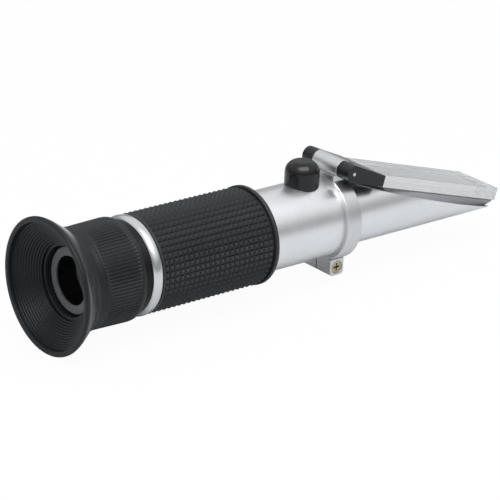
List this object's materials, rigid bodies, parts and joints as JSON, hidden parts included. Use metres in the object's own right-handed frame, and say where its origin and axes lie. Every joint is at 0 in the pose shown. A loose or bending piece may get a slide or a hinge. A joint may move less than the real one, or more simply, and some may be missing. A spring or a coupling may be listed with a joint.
{
  "type": "antifreeze refractometer",
  "caption": "Handheld optical refractometer: flared eyecup, ribbed focus ring, rubber-gripped tube, capped calibration screw and a hinged clear plate over a slanted prism.",
  "frame": {"origin": "centre of the eyecup's rim, on the optical axis", "axes": "+X along the optical axis from the eye to the prism, +Z towards the daylight plate, +Y away from the head of the clamp screw"},
  "size_m": [0.1898, 0.0458, 0.0458],
  "materials": {
    "eyecup_rubber": "smooth semi-gloss black rubber",
    "grip_rubber": "matte black rubber with a pyramid pattern",
    "cap_rubber": "smooth glossy black rubber",
    "black_plastic": "satin moulded black",
    "bezel_grey": "satin dark grey",
    "tube_aluminium": "turned and fine-brushed, satin",
    "ring_aluminium": "turned bright",
    "black_anodised": "matt black anodised",
    "optical_glass": "polished",
    "clear_acrylic": "clear, finely frosted underneath",
    "steel": "plain steel",
    "screw_brass": "yellow zinc or brass",
    "bed_resin": "cast pale grey resin"
  },
  "bodies": {
    "tube": {"main_tube": "tube_aluminium", "nose_tube": "tube_aluminium", "end_ring": "ring_aluminium", "grip_sleeve": "grip_rubber", "focus_sleeve": "black_anodised", "hinge_collar": "tube_aluminium", "clamp_screw": "screw_brass", "clamp_nut": "steel", "calibration_boss": "screw_brass", "carriage_guide": "black_anodised", "reticle_cell": "black_anodised", "reticle_disc": "optical_glass", "reticle_retainer": "black_anodised", "tube_baffle": "black_anodised", "nose_baffle": "black_anodised", "prism_bed": "bed_resin", "prism": "optical_glass"},
    "eyepiece": {"lens_cell": "black_anodised", "eye_lens": "optical_glass", "lens_spacer": "black_anodised", "field_lens": "optical_glass", "lens_retainer": "black_anodised", "eyepiece_bezel": "bezel_grey", "guide_key": "steel"},
    "focus": {"focus_ring": "black_plastic", "eyecup": "eyecup_rubber"},
    "calibrator": {"calibration_screw": "screw_brass", "screw_clip": "steel"},
    "lens_carriage": {"carriage_block": "screw_brass", "bimetal_strip": "steel", "strip_rivets": "steel", "objective_cell": "black_anodised", "objective_lens": "optical_glass", "objective_retainer": "black_anodised", "carriage_spring": "steel"},
    "cap": {"calibration_cap": "cap_rubber"},
    "lid": {"hinge_yoke": "black_plastic", "hinge_pin": "steel", "daylight_plate": "clear_acrylic", "plate_screws": "steel"}
  },
  "joints": [
    {"name": "lid_hinge", "type": "hinge", "parent": "tube", "child": "lid", "pos_m": [0.118, 0, 0.0181], "axis": [0, -1, 0], "range_deg": [0, 110]},
    {"name": "focus_slide", "type": "slide", "parent": "tube", "child": "eyepiece", "axis": [1, 0, 0], "range_m": [-0.002, 0.002]},
    {"name": "focus_turn", "type": "hinge", "parent": "eyepiece", "child": "focus", "pos_m": [0.0186, 0, 0], "axis": [1, 0, 0], "range_deg": [-180, 180]},
    {"name": "calibration_turn", "type": "hinge", "parent": "tube", "child": "calibrator", "pos_m": [0.105, 0, 0.015], "axis": [0, 0, 1], "range_deg": [-360, 360]},
    {"name": "lens_slide", "type": "slide", "parent": "tube", "child": "lens_carriage", "axis": [0, 0, 1], "range_m": [-0.0005, 0.0005], "deforming": ["carriage_spring"]},
    {"name": "cap_pull", "type": "slide", "parent": "tube", "child": "cap", "axis": [0, 0, 1], "range_m": [0, 0.012]}
  ],
  "couplings": [
    {"joint": "focus_turn", "follows": "focus_slide", "rad_per_m": 1570},
    {"joint": "calibration_turn", "follows": "lens_slide", "rad_per_m": -12560}
  ]
}
